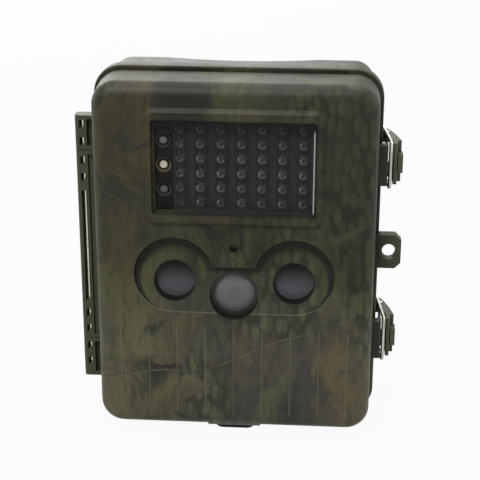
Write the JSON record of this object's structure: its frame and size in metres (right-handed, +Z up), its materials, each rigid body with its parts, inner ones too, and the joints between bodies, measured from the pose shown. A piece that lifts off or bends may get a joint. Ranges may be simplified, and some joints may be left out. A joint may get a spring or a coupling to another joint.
{
  "type": "trail camera",
  "caption": "Weatherproof trail camera with a hinged cover, wire-bail latches, infrared window, lens windows, motion sensor, inner display and keys, battery tray and tripod socket.",
  "frame": {"origin": "centre of the tripod socket's mouth, in the plane that the case stands on", "axes": "+Z up along the case's height, +X to the right as the lenses are looked at, +Y from the front to the back"},
  "size_m": [0.132, 0.0576, 0.1508],
  "materials": {
    "case_shell": "moulded, fine matt texture with a printed bark pattern",
    "gasket": "soft black foam rubber",
    "insert_brass": "turned",
    "pin_steel": "drawn wire",
    "tray_plastic": "moulded, matt black",
    "cell_jacket": "printed jacket",
    "contact_plate": "nickel plated",
    "screw_steel": "zinc plated",
    "cover_shell": "moulded, fine matt texture with a printed bark pattern",
    "latch_plastic": "moulded olive grey",
    "tinted_window": "dark smoked",
    "dark_panel": "moulded, matt black",
    "status_light": "diffusing plastic",
    "circuit_board": "solder resist",
    "led_clear": "clear smoked epoxy",
    "lens_glass": "dark filter glass",
    "barrel_plastic": "matt black",
    "ring_plastic": "satin black",
    "milky_lens": "milky moulded sheet",
    "sensor_can": "pressed can",
    "mic_capsule": "pressed can with a felt face",
    "chip_plastic": "moulded epoxy",
    "jack_plastic": "moulded black",
    "panel_plastic": "fine spark texture",
    "display_frame": "pressed frame",
    "display_glass": "clear cover over a dark screen",
    "switch_plastic": "moulded black",
    "socket_steel": "pressed sheet",
    "key_plastic": "moulded grey",
    "knob_plastic": "moulded orange",
    "card_plastic": "moulded dark blue",
    "plug_rubber": "moulded black rubber",
    "bail_wire": "drawn wire"
  },
  "bodies": {
    "rear_case": {"rear_shell": "case_shell", "lid_gasket": "gasket", "tripod_insert": "insert_brass", "hinge_pin": "pin_steel", "battery_tray": "tray_plastic", "battery_cells": "cell_jacket", "battery_contacts": "contact_plate", "latch_pins": "pin_steel", "tray_screws": "screw_steel"},
    "cover": {"front_cover": "cover_shell", "upper_keeper": "latch_plastic", "lower_keeper": "latch_plastic", "window_glass": "tinted_window", "indicator_panel": "dark_panel", "status_lights": "status_light", "led_board": "circuit_board", "infrared_leds": "led_clear", "left_lens_window": "lens_glass", "right_lens_window": "lens_glass", "left_lens_barrel": "barrel_plastic", "right_lens_barrel": "barrel_plastic", "sensor_ring": "ring_plastic", "sensor_lens": "milky_lens", "motion_sensor": "sensor_can", "microphone": "mic_capsule", "main_board": "circuit_board", "board_chips": "chip_plastic", "power_jack": "jack_plastic", "inner_panel": "panel_plastic", "display_module": "display_frame", "display_window": "display_glass", "key_switches": "switch_plastic", "slider_switch": "switch_plastic", "card_socket": "socket_steel", "panel_screws": "screw_steel"},
    "menu_key": {"menu_key": "key_plastic"},
    "up_key": {"up_key": "key_plastic"},
    "ok_key": {"ok_key": "key_plastic"},
    "left_key": {"left_key": "key_plastic"},
    "down_key": {"down_key": "key_plastic"},
    "right_key": {"right_key": "key_plastic"},
    "power_slider": {"power_slider": "knob_plastic"},
    "memory_card": {"memory_card": "card_plastic"},
    "port_plug": {"port_plug": "plug_rubber"},
    "upper_lever": {"upper_lever": "latch_plastic"},
    "upper_bail": {"upper_bail": "bail_wire"},
    "lower_lever": {"lower_lever": "latch_plastic"},
    "lower_bail": {"lower_bail": "bail_wire"}
  },
  "joints": [
    {"name": "cover_hinge", "type": "hinge", "parent": "rear_case", "child": "cover", "pos_m": [-0.0624, -0.017, 0.076], "axis": [0, 0, -1], "range_deg": [0, 180]},
    {"name": "menu_key_press", "type": "slide", "parent": "cover", "child": "menu_key", "axis": [0, -1, 0], "range_m": [0, 0.0008], "stiffness_N_per_m": 300},
    {"name": "up_key_press", "type": "slide", "parent": "cover", "child": "up_key", "axis": [0, -1, 0], "range_m": [0, 0.0008], "stiffness_N_per_m": 300},
    {"name": "ok_key_press", "type": "slide", "parent": "cover", "child": "ok_key", "axis": [0, -1, 0], "range_m": [0, 0.0008], "stiffness_N_per_m": 300},
    {"name": "left_key_press", "type": "slide", "parent": "cover", "child": "left_key", "axis": [0, -1, 0], "range_m": [0, 0.0008], "stiffness_N_per_m": 300},
    {"name": "down_key_press", "type": "slide", "parent": "cover", "child": "down_key", "axis": [0, -1, 0], "range_m": [0, 0.0008], "stiffness_N_per_m": 300},
    {"name": "right_key_press", "type": "slide", "parent": "cover", "child": "right_key", "axis": [0, -1, 0], "range_m": [0, 0.0008], "stiffness_N_per_m": 300},
    {"name": "power_slider_travel", "type": "slide", "parent": "cover", "child": "power_slider", "axis": [0, 0, 1], "range_m": [0, 0.008]},
    {"name": "memory_card_travel", "type": "slide", "parent": "cover", "child": "memory_card", "axis": [0, 0, -1], "range_m": [0, 0.012]},
    {"name": "port_plug_pull", "type": "slide", "parent": "cover", "child": "port_plug", "axis": [0, 0, -1], "range_m": [0, 0.006]},
    {"name": "upper_lever_hinge", "type": "hinge", "parent": "rear_case", "child": "upper_lever", "pos_m": [0.06, -0.003, 0.1137], "axis": [0, 0, 1], "range_deg": [0, 120]},
    {"name": "upper_bail_hinge", "type": "hinge", "parent": "upper_lever", "child": "upper_bail", "pos_m": [0.05856, 0.00008, 0.1137], "axis": [0, 0, 1], "range_deg": [-102, 0]},
    {"name": "lower_lever_hinge", "type": "hinge", "parent": "rear_case", "child": "lower_lever", "pos_m": [0.06, -0.003, 0.0383], "axis": [0, 0, 1], "range_deg": [0, 120]},
    {"name": "lower_bail_hinge", "type": "hinge", "parent": "lower_lever", "child": "lower_bail", "pos_m": [0.05856, 0.00008, 0.0383], "axis": [0, 0, 1], "range_deg": [-102, 0]}
  ],
  "couplings": [
    {"joint": "upper_bail_hinge", "follows": "upper_lever_hinge", "ratio": -0.85},
    {"joint": "lower_bail_hinge", "follows": "lower_lever_hinge", "ratio": -0.85}
  ]
}
